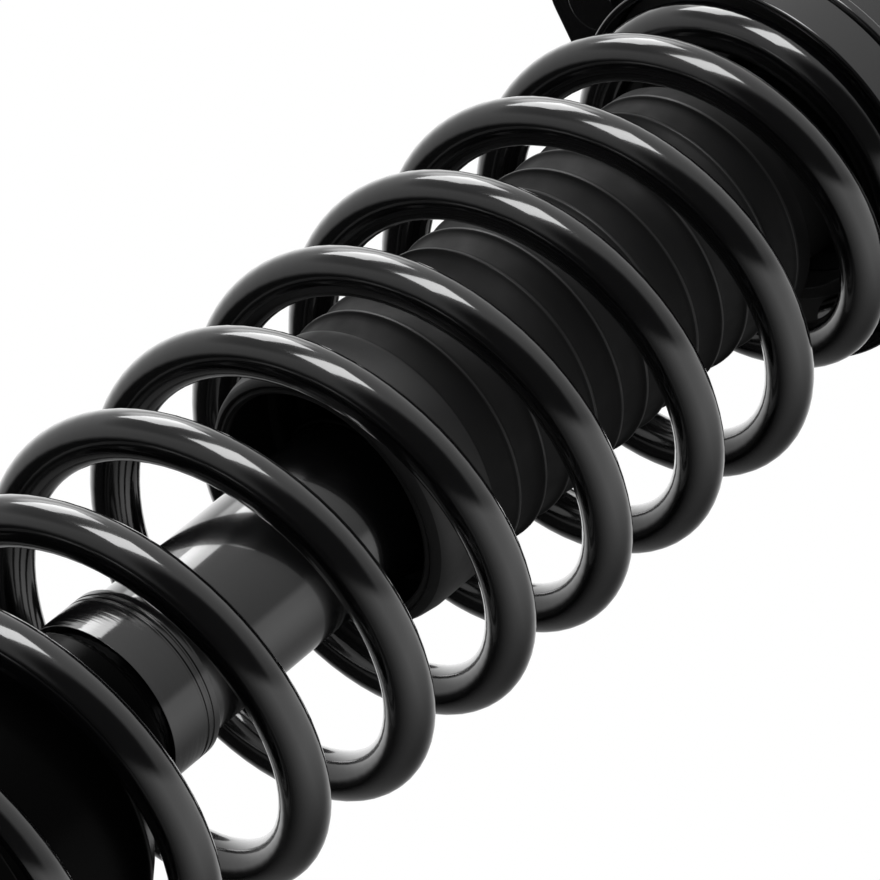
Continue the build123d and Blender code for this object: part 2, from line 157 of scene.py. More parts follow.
def finish(name, colour, dust_colour, gloss, relief, metallic=0.0, dust=(900.0, 0.36), stretch=(1, 1, 1),
           lacquer=None, sheen_level=0.5):
    """A coated, moulded or machined finish.

    gloss is (per metre, low, high), relief (per metre, depth) and dust (per metre, cover).
    """
    material = bpy.data.materials.new(name)
    material.use_nodes = True
    nodes, links = material.node_tree.nodes, material.node_tree.links
    shader = nodes["Principled BSDF"]
    shader.inputs["Metallic"].default_value = metallic
    shader.inputs["Specular IOR Level"].default_value = sheen_level
    if lacquer:
        shader.inputs["Coat Weight"].default_value = 1.0
        shader.inputs["Coat Roughness"].default_value = lacquer
    place_of = nodes.new("ShaderNodeTexCoord")
    scaled = nodes.new("ShaderNodeMapping")
    scaled.inputs["Scale"].default_value = stretch
    links.new(place_of.outputs["Object"], scaled.inputs["Vector"])
    drift = place(nodes, gloss_drift, Per_Metre=gloss[0], Low=gloss[1], High=gloss[2])
    skin = place(nodes, skin_relief, Per_Metre=relief[0], Depth=relief[1])
    specks = place(nodes, dust_specks, Per_Metre=dust[0], Cover=dust[1])
    blend = nodes.new("ShaderNodeMix")
    blend.data_type = "RGBA"
    blend.inputs["A"].default_value = (*colour, 1)
    blend.inputs["B"].default_value = (*dust_colour, 1)
    links.new(place_of.outputs["Object"], specks.inputs["Vector"])
    for node in (drift, skin):
        links.new(scaled.outputs["Vector"], node.inputs["Vector"])
    links.new(specks.outputs["Mask"], blend.inputs["Factor"])
    links.new(blend.outputs["Result"], shader.inputs["Base Color"])
    links.new(drift.outputs["Roughness"], shader.inputs["Roughness"])
    links.new(skin.outputs["Normal"], shader.inputs["Normal"])
    return material


def wear_material(node, material):
    """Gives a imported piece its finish; its shape is left as packed."""
    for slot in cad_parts[node].material_slots:
        slot.material = material


sintered = finish("sintered_iron", (0.26, 0.26, 0.255), (0.12, 0.12, 0.12), (300, 0.38, 0.5), (2600, 2e-5),
                  metallic=1.0, dust=(2400.0, 0.5))
drawn_steel = finish("drawn_steel", (0.5, 0.5, 0.51), (0.36, 0.36, 0.37), (120, 0.22, 0.32), (1500, 3e-6),
                     metallic=1.0, stretch=(1, 1, 0.03))
zinc = finish("bright_zinc", (0.56, 0.57, 0.58), (0.42, 0.43, 0.45), (260, 0.24, 0.36), (1800, 4e-6),
              metallic=1.0)
filled_ptfe = finish("bronze_filled_ptfe", (0.18, 0.15, 0.12), (0.26, 0.2, 0.14), (400, 0.35, 0.45),
                     (1200, 5e-6))
moulded_rubber = finish("moulded_rubber", (0.028, 0.028, 0.028), (0.06, 0.06, 0.058), (220, 0.48, 0.62),
                        (1400, 2.5e-5))

for inner_piece, inner_finish in (
    ("inner_cylinder", drawn_steel), ("base_valve", sintered), ("piston", sintered),
    ("piston_band", filled_ptfe), ("valve_discs", zinc), ("piston_nut", zinc), ("rebound_stop", zinc),
    ("rebound_buffer", moulded_rubber), ("rod_guide", sintered), ("guide_bush", filled_ptfe),
    ("rod_seal", moulded_rubber),
):
    wear_material(inner_piece, inner_finish)

# ---- Piston rod -----------------------------------------------------------------------------------
# Ground, hard-chromed carbon steel bar, stepped down to a rolled thread at its upper end.
# The rod goes through the seal and is bolted to the top mount's spool.
ROD_RADIUS = 0.008
ROD_THREAD_RADIUS = 0.006
ROD_THREAD_PITCH = 0.00125
ROD_THREAD_START = 0.015
ROD_CORE_END = 0.02
ROD_CORE_DROP = 8e-4
ROD_TIP_CONE = 0.0012
ROD_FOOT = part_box("piston_rod")[0].z
ROD_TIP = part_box("piston_rod")[1].z
ROD_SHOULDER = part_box("bump_stop")[1].z
PISTON_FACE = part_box("valve_discs")[1].z
ROD_EDGE = 4e-4
THREAD_DEPTH = 0.61
THREAD_LEAD_IN = 1.5
CREST_START = 0.42
CREST_END = 0.58
SAME_POINT = 1e-6


def settle(name, mesh, material, body, slot_name, *nodes, smooth=35.0):
    """Makes a finished piece from a bmesh: its object at the origin, riding on its body."""
    bmesh.ops.recalc_face_normals(mesh, faces=mesh.faces[:])
    for face in mesh.faces:
        face.smooth = True
    for edge in mesh.edges:
        if len(edge.link_faces) == 2:
            edge.smooth = edge.calc_face_angle() < math.radians(smooth)
    data = bpy.data.meshes.new(name)
    mesh.to_mesh(data)
    mesh.free()
    data.materials.append(material)
    piece = bpy.data.objects.new(name, data)
    bpy.context.scene.collection.objects.link(piece)
    shading = piece.modifiers.new("even_normals", "WEIGHTED_NORMAL")
    shading.keep_sharp = True
    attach(piece, body)
    if nodes:
        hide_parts(*nodes)
    return piece


def turn(mesh, outline, steps=96, closed=True):
    """Carries an outline of (radius, height) corners once round the Z axis."""
    corners = [mesh.verts.new((radius, 0, height)) for radius, height in outline]
    following = corners[1:] + corners[:1] if closed else corners[1:]
    sides = [mesh.edges.new(pair) for pair in zip(corners, following)]
    bmesh.ops.spin(mesh, geom=corners + sides, cent=(0, 0, 0), axis=(0, 0, 1), dvec=(0, 0, 0),
                   angle=FULL_TURN, steps=steps, use_merge=True)
    bmesh.ops.remove_doubles(mesh, verts=mesh.verts[:], dist=SAME_POINT)


def round_edges(mesh, radius, sharper_than=25.0, segments=3):
    """Breaks every edge that turns more sharply than the given angle."""
    limit = math.radians(sharper_than)
    edges = [e for e in mesh.edges if len(e.link_faces) == 2 and e.calc_face_angle() > limit]
    bmesh.ops.bevel(mesh, geom=edges, offset=radius, offset_type="OFFSET", segments=segments, profile=0.5,
                    affect="EDGES", clamp_overlap=True, material=-1)


def thread(mesh, radius, pitch, bottom, top, tip, steps=28):
    """A rolled thread between two heights, with a cone at its tip."""
    depth = pitch * THREAD_DEPTH
    turns = math.ceil((top - bottom) / pitch) + 2
    heights = [(radius - depth, 0), (radius, CREST_START), (radius, CREST_END), (radius - depth, 1)]
    start = bottom - pitch * THREAD_LEAD_IN
    corners = [mesh.verts.new((distance, 0, start + share * pitch)) for distance, share in heights]
    sides = [mesh.edges.new(pair) for pair in zip(corners, corners[1:])]
    bmesh.ops.spin(mesh, geom=corners + sides, cent=(0, 0, 0), axis=(0, 0, 1), dvec=(0, 0, pitch / steps),
                   angle=FULL_TURN * turns, steps=steps * turns, use_merge=False)
    bmesh.ops.remove_doubles(mesh, verts=mesh.verts[:], dist=SAME_POINT)
    for height, side in ((bottom, -1), (top, 1)):
        bmesh.ops.bisect_plane(mesh, geom=mesh.verts[:] + mesh.edges[:] + mesh.faces[:], dist=1e-7,
                               plane_co=(0, 0, height), plane_no=(0, 0, side), clear_outer=True)
    for vert in mesh.verts:
        reach = math.hypot(vert.co.x, vert.co.y)
        limit = radius - tip + (top - vert.co.z)
        if reach > limit:
            vert.co.xy *= limit / reach
    ends = [e for e in mesh.edges if len(e.link_faces) == 1]
    bmesh.ops.holes_fill(mesh, edges=ends, sides=0)


def joined(mesh, other):
    """Adds the second bmesh's faces to the first."""
    data = bpy.data.meshes.new("part_of_piece")
    other.to_mesh(data)
    other.free()
    mesh.from_mesh(data)
    bpy.data.meshes.remove(data)


chrome = finish("hard_chrome", (0.72, 0.73, 0.75), (0.6, 0.61, 0.63), (90, 0.05, 0.09), (5200, 6e-7),
                metallic=1.0, stretch=(0.05, 0.05, 1))
rod = bmesh.new()
core = ROD_THREAD_RADIUS - ROD_CORE_DROP
turn(rod, [(0, ROD_FOOT), (ROD_THREAD_RADIUS, ROD_FOOT), (ROD_THREAD_RADIUS, PISTON_FACE),
           (ROD_RADIUS, PISTON_FACE), (ROD_RADIUS, ROD_SHOULDER), (core, ROD_SHOULDER),
           (core, ROD_SHOULDER + ROD_CORE_END), (0, ROD_SHOULDER + ROD_CORE_END)], steps=64, closed=False)
round_edges(rod, ROD_EDGE)
rod_thread = bmesh.new()
thread(rod_thread, ROD_THREAD_RADIUS, ROD_THREAD_PITCH, ROD_SHOULDER + ROD_THREAD_START, ROD_TIP,
       ROD_TIP_CONE)
joined(rod, rod_thread)
settle("piston_rod_bar", rod, chrome, "top_mount", "hard_chrome", "piston_rod")

# ---- Reservoir tube -------------------------------------------------------------------------------
# Cold-drawn steel tube with a rolled-in mouth, sprayed with gloss black paint after welding.
# It carries the spring seat and the collar, and goes up into the dust boot.
TUBE_RADIUS = 0.0238
TUBE_BORE = 0.0218
TUBE_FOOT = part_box("outer_tube")[0].z
TUBE_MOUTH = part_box("outer_tube")[1].z
MOUTH_ROLL = 0.002
MOUTH_HOLE = 0.014
TUBE_EDGE = 6e-4

gloss_paint = finish("gloss_black_paint", (0.002, 0.002, 0.0022), (0.010, 0.010, 0.010), (60, 0.13, 0.2),
                     (380, 8.0e-6), dust=(1500.0, 0.36), lacquer=0.045)
reservoir = bmesh.new()
turn(reservoir, [(TUBE_BORE, TUBE_FOOT), (TUBE_RADIUS, TUBE_FOOT), (TUBE_RADIUS, TUBE_MOUTH),
                 (MOUTH_HOLE, TUBE_MOUTH), (MOUTH_HOLE, TUBE_MOUTH - MOUTH_ROLL),
                 (TUBE_BORE, TUBE_MOUTH - MOUTH_ROLL)], steps=128)
round_edges(reservoir, TUBE_EDGE)
settle("reservoir_tube", reservoir, gloss_paint, "damper", "black_paint", "outer_tube")

# ---- Base cup and lower eye -----------------------------------------------------------------------
# A forged plug pressed into the tube and a ring cut from thick pipe, joined by a fillet weld.
# The ring's mouth edges are broken by hand before painting with the tube.
EYE_RADIUS = 0.021
EYE_BORE = 0.0165
EYE_HALF_WIDTH = 0.017
EYE_CORNER = 0.0011
EYE_WELD_RADIUS = 0.0163
WELD_RADIUS = 0.0014
WELD_SIDES = 10
WELD_STEPS = 230
WELD_RIPPLES = 46
RIPPLE_DEPTH = 0.10
WELD_WANDERS = 7
WANDER_DEPTH = 0.05
WELD_SUNK = 2e-4


def lay_down(mesh):
    """Turns a piece made round Z so that its axis is X."""
    bmesh.ops.rotate(mesh, cent=(0, 0, 0), matrix=Matrix.Rotation(math.pi / 2, 3, "Y"), verts=mesh.verts[:])


def weld_bead(name, radius, height, body, paint, saddle=0.0):
    """A fillet weld laid in overlapping ripples; a saddle bends it over a ring of that radius."""
    bead = bmesh.new()
    corners = [FULL_TURN * side / WELD_SIDES for side in range(WELD_SIDES)]
    turn(bead, [(radius + WELD_RADIUS * math.cos(corner), height + WELD_RADIUS * math.sin(corner))
                for corner in corners], steps=WELD_STEPS)
    for vert in bead.verts:
        angle = math.atan2(vert.co.y, vert.co.x)
        ripple = (1 + RIPPLE_DEPTH * math.sin(WELD_RIPPLES * angle)
                  + WANDER_DEPTH * math.sin(WELD_WANDERS * angle))
        out = Vector((vert.co.x, vert.co.y, 0)).normalized() * radius + Vector((0, 0, height))
        vert.co = out + (vert.co - out) * ripple
        if saddle:
            vert.co.z += math.sqrt(saddle ** 2 - vert.co.y ** 2) - saddle
    settle(name, bead, paint, body, "black_paint", smooth=80.0)


wear_material("base_cup", gloss_paint)
ring = bmesh.new()
turn(ring, [(EYE_BORE, -EYE_HALF_WIDTH), (EYE_RADIUS, -EYE_HALF_WIDTH), (EYE_RADIUS, EYE_HALF_WIDTH),
            (EYE_BORE, EYE_HALF_WIDTH)], steps=112)
round_edges(ring, EYE_CORNER)
lay_down(ring)
settle("eye_ring", ring, gloss_paint, "damper", "black_paint", "lower_eye")
weld_bead("eye_weld", EYE_WELD_RADIUS, EYE_RADIUS, "damper", gloss_paint, saddle=EYE_RADIUS)
weld_bead("tube_foot_weld", TUBE_RADIUS - WELD_SUNK, TUBE_FOOT, "damper", gloss_paint)

# ---- Eye bush and sleeve --------------------------------------------------------------------------
# Natural rubber bonded between the ring and a zinc-plated steel sleeve, dished at both mouths.
# The sleeve stands proud of the rubber, so that only steel meets the bracket.
BUSH_HALF_WIDTH = 0.0165
SLEEVE_RADIUS = 0.009
SLEEVE_BORE = 0.0061
SLEEVE_HALF_WIDTH = 0.022
DISH_DEPTH = 0.0026
DISH_MARGIN = 0.0026
INNER_LIP = 0.0016
OUTER_LIP = 0.0012
BUSH_EDGE = 5e-4
SLEEVE_EDGE = 5e-4


def bush_mouth(side):
    """Corners of one dished mouth of the bush, from the sleeve out to the ring."""
    face = side * BUSH_HALF_WIDTH
    dish = side * (BUSH_HALF_WIDTH - DISH_DEPTH)
    return [(SLEEVE_RADIUS, face), (SLEEVE_RADIUS + INNER_LIP, face), (SLEEVE_RADIUS + DISH_MARGIN, dish),
            (EYE_BORE - DISH_MARGIN, dish), (EYE_BORE - OUTER_LIP, face), (EYE_BORE, face)]


bush = bmesh.new()
turn(bush, bush_mouth(-1) + bush_mouth(1)[::-1], steps=96)
round_edges(bush, BUSH_EDGE)
lay_down(bush)
settle("eye_rubber", bush, moulded_rubber, "damper", "black_rubber", "eye_bush")

sleeve = bmesh.new()
turn(sleeve, [(SLEEVE_BORE, -SLEEVE_HALF_WIDTH), (SLEEVE_RADIUS, -SLEEVE_HALF_WIDTH),
              (SLEEVE_RADIUS, SLEEVE_HALF_WIDTH), (SLEEVE_BORE, SLEEVE_HALF_WIDTH)], steps=72)
round_edges(sleeve, SLEEVE_EDGE)
lay_down(sleeve)
settle("eye_sleeve_tube", sleeve, zinc, "eye_sleeve", "zinc_steel", "eye_sleeve")

# ---- Lower spring seat ----------------------------------------------------------------------------
# Deep-drawn sheet steel: a tall hat that closes to a neck on the tube, with a lipped pan at its foot.
# The neck is welded to the tube all round, then the whole damper is painted.
SEAT_WALL = 0.003
PAN_FLOOR = 0.109
PAN_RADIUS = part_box("lower_spring_seat")[1].x
PAN_LIP = 0.012
HAT_RADIUS = 0.0501
HAT_SHOULDER = 0.182
HAT_CORNER = 0.006
HAT_INNER_CORNER = 0.007
HAT_DRAFT = 0.001
CROWN_RISE = 0.002
CROWN_INSET = 0.0021
CROWN_DROP = 0.0024
SEAT_BEND = 0.0014
NECK_RADIUS = TUBE_RADIUS + SEAT_WALL
NECK_FOOT = 0.190
NECK_FLARE = 0.003
NECK_FLARE_HEIGHT = 0.004
NECK_WELD_STANDS = 6e-4
NECK_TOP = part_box("lower_spring_seat")[1].z

dip_primer = finish("black_dip_primer", (0.001, 0.001, 0.001), (0.006, 0.006, 0.006), (50, 0.2, 0.3),
                    (500, 8e-6), dust=(1500.0, 0.36), sheen_level=0.03)
seat = bmesh.new()
turn(seat, [(TUBE_RADIUS, NECK_TOP), (NECK_RADIUS, NECK_TOP), (NECK_RADIUS, NECK_FOOT),
            (NECK_RADIUS + NECK_FLARE, NECK_FOOT - NECK_FLARE_HEIGHT),
            (HAT_RADIUS - HAT_CORNER, HAT_SHOULDER + CROWN_RISE), (HAT_RADIUS, HAT_SHOULDER - HAT_CORNER),
            (HAT_RADIUS + HAT_DRAFT, PAN_FLOOR), (PAN_RADIUS - SEAT_WALL, PAN_FLOOR),
            (PAN_RADIUS - SEAT_WALL, PAN_FLOOR + PAN_LIP), (PAN_RADIUS, PAN_FLOOR + PAN_LIP),
            (PAN_RADIUS, PAN_FLOOR - SEAT_WALL), (HAT_RADIUS - SEAT_WALL + HAT_DRAFT, PAN_FLOOR - SEAT_WALL),
            (HAT_RADIUS - SEAT_WALL, HAT_SHOULDER - HAT_INNER_CORNER),
            (HAT_RADIUS - HAT_CORNER - CROWN_INSET, HAT_SHOULDER - CROWN_DROP),
            (NECK_RADIUS, NECK_FOOT - NECK_FLARE_HEIGHT - SEAT_WALL),
            (TUBE_RADIUS, NECK_FOOT - NECK_FLARE_HEIGHT)], steps=144)
round_edges(seat, SEAT_BEND, sharper_than=12.0, segments=4)
settle("spring_seat_hat", seat, dip_primer, "damper", "black_paint", "lower_spring_seat")
weld_bead("seat_neck_weld", TUBE_RADIUS + NECK_WELD_STANDS, NECK_TOP, "damper", dip_primer)

# ---- Lower isolator -------------------------------------------------------------------------------
# A flat ring of moulded rubber that lies in the pan.
# It keeps the spring's coating off the steel and quietens the lowest turn.
ISOLATOR_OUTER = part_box("lower_isolator")[1].x
ISOLATOR_INNER = 0.0514
ISOLATOR_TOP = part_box("lower_isolator")[1].z
ISOLATOR_EDGE = 7e-4

pad = bmesh.new()
turn(pad, [(ISOLATOR_INNER, PAN_FLOOR), (ISOLATOR_OUTER, PAN_FLOOR), (ISOLATOR_OUTER, ISOLATOR_TOP),
           (ISOLATOR_INNER, ISOLATOR_TOP)], steps=144)
round_edges(pad, ISOLATOR_EDGE)
settle("lower_isolator_ring", pad, moulded_rubber, "damper", "black_rubber", "lower_isolator")

# ---- Seat collar ----------------------------------------------------------------------------------
# A turned steel ring pressed on the tube above the neck, with two fine grooves near its upper edge.
# The paint is thin enough to show the fine rings that the lathe left.
COLLAR_RADIUS = 0.0264
COLLAR_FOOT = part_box("seat_collar")[0].z
COLLAR_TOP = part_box("seat_collar")[1].z
GROOVE_DEPTH = 0.0003
GROOVE_HALF = 0.0004
GROOVE_DROPS = (0.0048, 0.0026)
COLLAR_EDGE = 2.5e-4


def groove(height):
    """The four corners of a square groove, from its lower side up."""
    return [(COLLAR_RADIUS, height - GROOVE_HALF), (COLLAR_RADIUS - GROOVE_DEPTH, height - GROOVE_HALF),
            (COLLAR_RADIUS - GROOVE_DEPTH, height + GROOVE_HALF), (COLLAR_RADIUS, height + GROOVE_HALF)]


turned_paint = finish("paint_over_turning", (0.002, 0.002, 0.0022), (0.010, 0.010, 0.010), (60, 0.07, 0.13),
                      (700, 6.0e-5), dust=(1500.0, 0.36), stretch=(0.04, 0.04, 1), sheen_level=1.0)
collar = bmesh.new()
lower_groove, upper_groove = (groove(COLLAR_TOP - drop) for drop in GROOVE_DROPS)
turn(collar, [(TUBE_RADIUS, COLLAR_FOOT), (COLLAR_RADIUS, COLLAR_FOOT), *lower_groove, *upper_groove,
              (COLLAR_RADIUS, COLLAR_TOP), (TUBE_RADIUS, COLLAR_TOP)], steps=128)
round_edges(collar, COLLAR_EDGE)
settle("tube_collar", collar, turned_paint, "damper", "black_paint", "seat_collar")

# ---- Strike cap -----------------------------------------------------------------------------------
# A pressed steel cap, dipped in black primer and pushed over the tube's mouth.
# It takes the bump stop's push at full bump and keeps grit away from the rod seal.
CAP_RADIUS = 0.0254
CAP_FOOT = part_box("strike_cap")[0].z
CAP_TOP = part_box("strike_cap")[1].z
CAP_HOLE = 0.009
CAP_AIR = 2e-5
CAP_BEND = 0.0012

cap = bmesh.new()
turn(cap, [(TUBE_RADIUS + CAP_AIR, CAP_FOOT), (CAP_RADIUS, CAP_FOOT), (CAP_RADIUS, CAP_TOP),
           (CAP_HOLE, CAP_TOP), (CAP_HOLE, TUBE_MOUTH + CAP_AIR),
           (TUBE_RADIUS + CAP_AIR, TUBE_MOUTH + CAP_AIR)], steps=96)
round_edges(cap, CAP_BEND, segments=4)
settle("strike_cap_pressing", cap, dip_primer, "damper", "black_paint", "strike_cap")

# ---- Bump stop and its cup ------------------------------------------------------------------------
# Microcellular polyurethane moulded with two waists, clipped in a pressed cup under the mount.
# It is bored for the rod and crushes progressively against the strike cap.
STOP_RADIUS = 0.025
STOP_BORE = 0.0086
STOP_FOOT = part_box("bump_stop")[0].z
STOP_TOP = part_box("bump_stop")[1].z
STOP_NOSE = 0.007
WAIST_SHARES = (0.42, 0.62)
WAIST_DEPTH = 0.003
WAIST_HALF = 0.002
STOP_EDGE = 8e-4

foam = finish("cellular_urethane", (0.36, 0.33, 0.26), (0.2, 0.18, 0.13), (500, 0.62, 0.78), (2200, 6e-5),
              dust=(2600.0, 0.5))
stop = bmesh.new()
stop_outline = [(STOP_BORE, STOP_FOOT), (STOP_RADIUS - STOP_NOSE, STOP_FOOT),
                (STOP_RADIUS, STOP_FOOT + STOP_NOSE)]
for share in WAIST_SHARES:
    waist = STOP_FOOT + (STOP_TOP - STOP_FOOT) * share
    stop_outline += [(STOP_RADIUS, waist - WAIST_HALF), (STOP_RADIUS - WAIST_DEPTH, waist),
                     (STOP_RADIUS, waist + WAIST_HALF)]
turn(stop, stop_outline + [(STOP_RADIUS, STOP_TOP), (STOP_BORE, STOP_TOP)], steps=96)
round_edges(stop, STOP_EDGE)
settle("bump_stop_foam", stop, foam, "top_mount", "foam", "bump_stop")
wear_material("bump_stop_cup", gloss_paint)

# ---- Dust boot ------------------------------------------------------------------------------------
# Blow-moulded rubber bellows with a plain skirt, gripped by the bump stop's cup at its neck.
# It hangs free below, a little to one side, and keeps dirt off the rod.
BOOT_RADIUS = 0.041
BOOT_DEPTH = 0.0026
BOOT_WALL = 0.0018
BOOT_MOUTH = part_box("dust_boot")[0].z
BOOT_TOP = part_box("dust_boot")[1].z
BOOT_SKIRT = 0.024
BOOT_RIDGES = 12
BOOT_PITCH = 0.0117
BOOT_SHOULDER = 0.005
BOOT_NECK_RADIUS = 0.0304
BOOT_TAPER = 0.0017
BOOT_OFFSET = 0.0046
BOOT_BEND = 0.11
BOOT_CONE = 0.007
SKIRT_LAND = 0.001
CREST_SHARE = 0.93
FACES_OUTWARD = 0.9
# (share of the pitch, share of the depth) of each corner of one fold, from its crest up to the next
RIDGE_SHAPE = ((0.035, 0.88), (0.09, 0.40), (0.17, 0.10), (0.27, 0.0), (0.41, 0.05), (0.57, 0.18),
               (0.73, 0.37), (0.85, 0.58), (0.895, 0.82), (0.925, 0.97), (0.955, 1.0), (0.995, 1.0))
# (drawn in, above the mouth) of each corner of the mouth's rolled edge
MOUTH_ROLL_SHAPE = ((0.0046, 0.0018), (0.0042, 0.0005), (0.0034, 0.0), (0.0023, 0.0006), (0.0014, 0.0022),
                    (0.0006, 0.0052), (0.0, 0.0095))

boot_rubber = finish("boot_rubber", (0.005, 0.005, 0.0052), (0.018, 0.018, 0.017), (140, 0.58, 0.7),
                     (2200, 1.2e-5), dust=(1300.0, 0.34), sheen_level=0.26)
# A lighter, glossier rubber for the outward faces of the crests and the skirt; its lighter colour is a
# painted highlight along the crest lines and on the skirt.
crest_highlight_rubber = finish("crest_highlight_rubber", (0.009, 0.009, 0.0092), (0.03, 0.03, 0.029), (140, 0.46, 0.56),
                       (2200, 8e-6), dust=(1300.0, 0.34), sheen_level=0.6)
crest = BOOT_MOUTH + BOOT_SKIRT
boot_outline = [(BOOT_RADIUS - drawn_in, BOOT_MOUTH + above) for drawn_in, above in MOUTH_ROLL_SHAPE]
boot_outline += [(BOOT_RADIUS, crest - SKIRT_LAND), (BOOT_RADIUS, crest)]
for ridge in range(BOOT_RIDGES):
    boot_outline += [(BOOT_RADIUS - BOOT_TAPER * (ridge + share) / BOOT_RIDGES - BOOT_DEPTH * (1 - height),
                      crest + BOOT_PITCH * share) for share, height in RIDGE_SHAPE]
    crest += BOOT_PITCH
boot_outline += [(BOOT_RADIUS - BOOT_TAPER, crest), (BOOT_RADIUS - BOOT_TAPER, crest + BOOT_SHOULDER),
                 (BOOT_NECK_RADIUS, crest + BOOT_SHOULDER + BOOT_CONE), (BOOT_NECK_RADIUS, BOOT_TOP)]
boot_outline += [(radius - BOOT_WALL, height) for radius, height in reversed(boot_outline)]
boot = bmesh.new()
turn(boot, boot_outline, steps=128)
for vert in boot.verts:
    hang = min((BOOT_TOP - vert.co.z) / BOOT_BEND, 1.0)
    vert.co.x -= BOOT_OFFSET * hang * (2 - hang)
# The outward faces of the crests and of the skirt take the second material, the painted crest highlight.
for face in boot.faces:
    middle = face.calc_center_median()
    outward = face.normal.dot(Vector((middle.x + BOOT_OFFSET, middle.y, 0)).normalized())
    above_skirt = middle.z - BOOT_MOUTH - BOOT_SKIRT
    on_crest = above_skirt % BOOT_PITCH > CREST_SHARE * BOOT_PITCH
    face.material_index = 1 if abs(outward) > FACES_OUTWARD and (above_skirt < 0 or on_crest) else 0
bellows = settle("dust_boot_bellows", boot, boot_rubber, "top_mount", "boot_rubber", "dust_boot", smooth=50.0)
bellows.data.materials.append(crest_highlight_rubber)

# ---- Coil spring ----------------------------------------------------------------------------------
# Cold-wound silicon-chrome wire, shot-peened and powder coated in gloss black.
# A closed turn sits in the pan, the working turns are open, and a smaller turn seats in the mount.
WIRE_RADIUS = 0.0069
COIL_RADIUS = 0.060
LOWER_PITCH = 0.0434
COIL_START = math.radians(-36.0)
WIRE_SLOPE = math.atan2(LOWER_PITCH, FULL_TURN * COIL_RADIUS)
SPRING_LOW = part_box("coil_spring")[0].z
STEPS_PER_TURN = 72
WIRE_SIDES = 28
WIRE_END_CORNER = 7e-4
# (turns, rise, change of radius) of each stretch of wire, from the pan up
WIRE_STRETCHES = ((0.85, 0.01207, 0.0), (4.75, 0.20615, 0.0), (2.8, 0.11788, 0.0), (0.8, 0.0386, -0.0094),
                  (0.95, 0.01187, 0.0))

powder_coat = finish("gloss_powder_coat", (0.0015, 0.0015, 0.0017), (0.008, 0.008, 0.008), (45, 0.12, 0.19),
                     (420, 1.0e-5), dust=(1400.0, 0.36), lacquer=0.05)
spring = bmesh.new()
circle = bmesh.ops.create_circle(spring, cap_ends=False, radius=WIRE_RADIUS, segments=WIRE_SIDES)["verts"]
bmesh.ops.rotate(spring, cent=(0, 0, 0), verts=circle,
                 matrix=Matrix.Rotation(math.pi / 2 + WIRE_SLOPE, 3, "X"))
bmesh.ops.translate(spring, vec=(COIL_RADIUS, 0, SPRING_LOW + WIRE_RADIUS), verts=circle)
bmesh.ops.rotate(spring, cent=(0, 0, 0), verts=circle, matrix=Matrix.Rotation(COIL_START, 3, "Z"))
last_ring = spring.verts[:] + spring.edges[:]
angle = COIL_START
for turns, rise, widening in WIRE_STRETCHES:
    steps = round(turns * STEPS_PER_TURN)
    step = Vector((math.cos(angle), math.sin(angle), 0)) * (widening / steps)
    step.z = rise / steps
    last_ring = bmesh.ops.spin(spring, geom=last_ring, cent=(0, 0, 0), axis=(0, 0, 1), dvec=step,
                               angle=FULL_TURN * turns, steps=steps, use_merge=False)["geom_last"]
    last_ring = [part for part in last_ring if not isinstance(part, bmesh.types.BMFace)]
    angle += FULL_TURN * turns
open_edges = [e for e in spring.edges if len(e.link_faces) == 1]
wire_ends = bmesh.ops.holes_fill(spring, edges=open_edges, sides=0)["faces"]
bmesh.ops.bevel(spring, geom=[e for face in wire_ends for e in face.edges], offset=WIRE_END_CORNER,
                offset_type="OFFSET", segments=2, profile=0.5, affect="EDGES", clamp_overlap=True,
                material=-1)
wire = settle("coil_spring_wire", spring, powder_coat, "top_mount", "spring_coat", "coil_spring")
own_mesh(wire)

# ---- Upper isolator -------------------------------------------------------------------------------
# A moulded rubber ring between the small turn and the cup.
# A hub below the ring fits inside the turn and centres it.
UPPER_PAD_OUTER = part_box("upper_isolator")[1].x
HUB_RADIUS = 0.0431
HUB_WALL = 0.004
HUB_BORE = HUB_RADIUS - HUB_WALL
HUB_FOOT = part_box("upper_isolator")[0].z
UPPER_PAD_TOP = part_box("upper_isolator")[1].z
UPPER_PAD_THICKNESS = 0.0022
UPPER_PAD_EDGE = 6e-4
UPPER_PAD_FOOT = UPPER_PAD_TOP - UPPER_PAD_THICKNESS

upper_pad = bmesh.new()
turn(upper_pad, [(HUB_BORE, HUB_FOOT), (HUB_RADIUS, HUB_FOOT), (HUB_RADIUS, UPPER_PAD_FOOT),
                 (UPPER_PAD_OUTER, UPPER_PAD_FOOT), (UPPER_PAD_OUTER, UPPER_PAD_TOP),
                 (HUB_BORE, UPPER_PAD_TOP)], steps=128)
round_edges(upper_pad, UPPER_PAD_EDGE)
settle("upper_isolator_ring", upper_pad, moulded_rubber, "top_mount", "black_rubber", "upper_isolator")

# ---- Upper spring seat ----------------------------------------------------------------------------
# A shallow cup pressed from sheet steel, its lip rolled round the small turn of the spring.
# It is spot-welded under the mount plate and painted with it.
CUP_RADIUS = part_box("upper_spring_seat")[1].x
CUP_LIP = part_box("upper_spring_seat")[0].z
CUP_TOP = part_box("upper_spring_seat")[1].z
CUP_WALL = 0.0024
CUP_HOLE = 0.028
CUP_BEND = 8e-4

cup = bmesh.new()
turn(cup, [(CUP_HOLE, CUP_TOP - CUP_WALL), (CUP_RADIUS - CUP_WALL, CUP_TOP - CUP_WALL),
           (CUP_RADIUS - CUP_WALL, CUP_LIP), (CUP_RADIUS, CUP_LIP), (CUP_RADIUS, CUP_TOP),
           (CUP_HOLE, CUP_TOP)], steps=160)
round_edges(cup, CUP_BEND, segments=4)
settle("upper_seat_cup", cup, gloss_paint, "top_mount", "black_paint", "upper_spring_seat")

